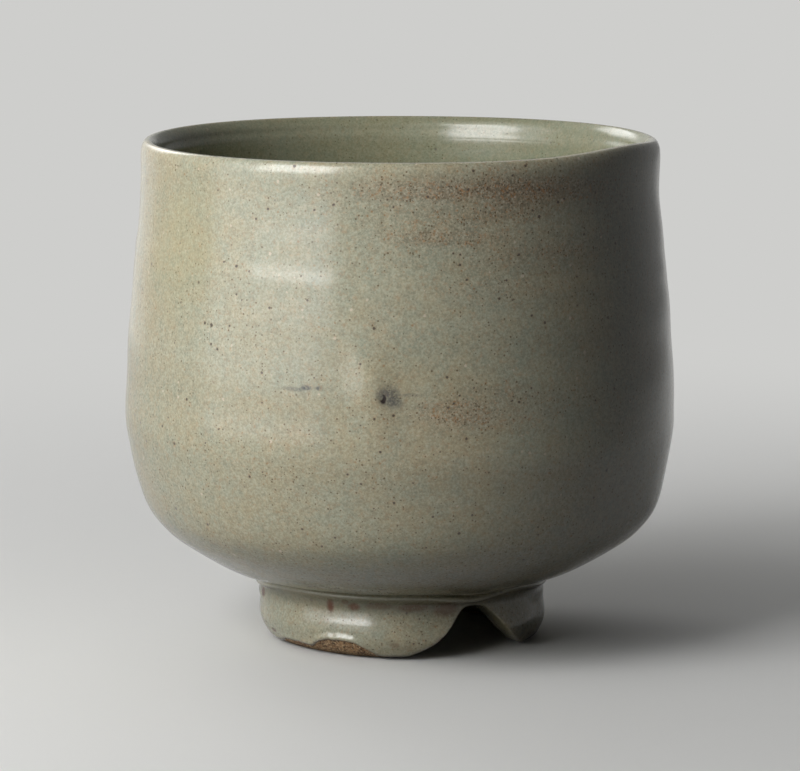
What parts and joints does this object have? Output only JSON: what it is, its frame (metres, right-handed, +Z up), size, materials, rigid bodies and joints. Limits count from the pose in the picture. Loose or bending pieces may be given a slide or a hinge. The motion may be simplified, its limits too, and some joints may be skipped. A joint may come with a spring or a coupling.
{
  "type": "tea bowl",
  "caption": "Half-cylinder stoneware tea bowl with a celadon glaze, a rounded wavy lip and a split foot ring.",
  "frame": {"origin": "on the bowl's axis, in the plane that the foot stands on", "axes": "+Z up along the bowl's axis, -Y towards the viewer of the picture, +X to that viewer's right"},
  "size_m": [0.1149, 0.1151, 0.1061],
  "materials": {
    "bowl_clay": "rough brown stoneware under the glaze",
    "foot_clay": "bare granular brown stoneware",
    "outer_celadon": "satin celadon glaze with iron specks",
    "liner_celadon": "satin celadon glaze, pooled on the floor",
    "foot_celadon": "satin celadon glaze with rust specks"
  },
  "bodies": {
    "root": {"thrown_bowl": "bowl_clay", "foot_ring": "foot_clay", "outer_glaze": "outer_celadon", "liner_glaze": "liner_celadon", "foot_glaze": "foot_celadon"}
  },
  "joints": []
}
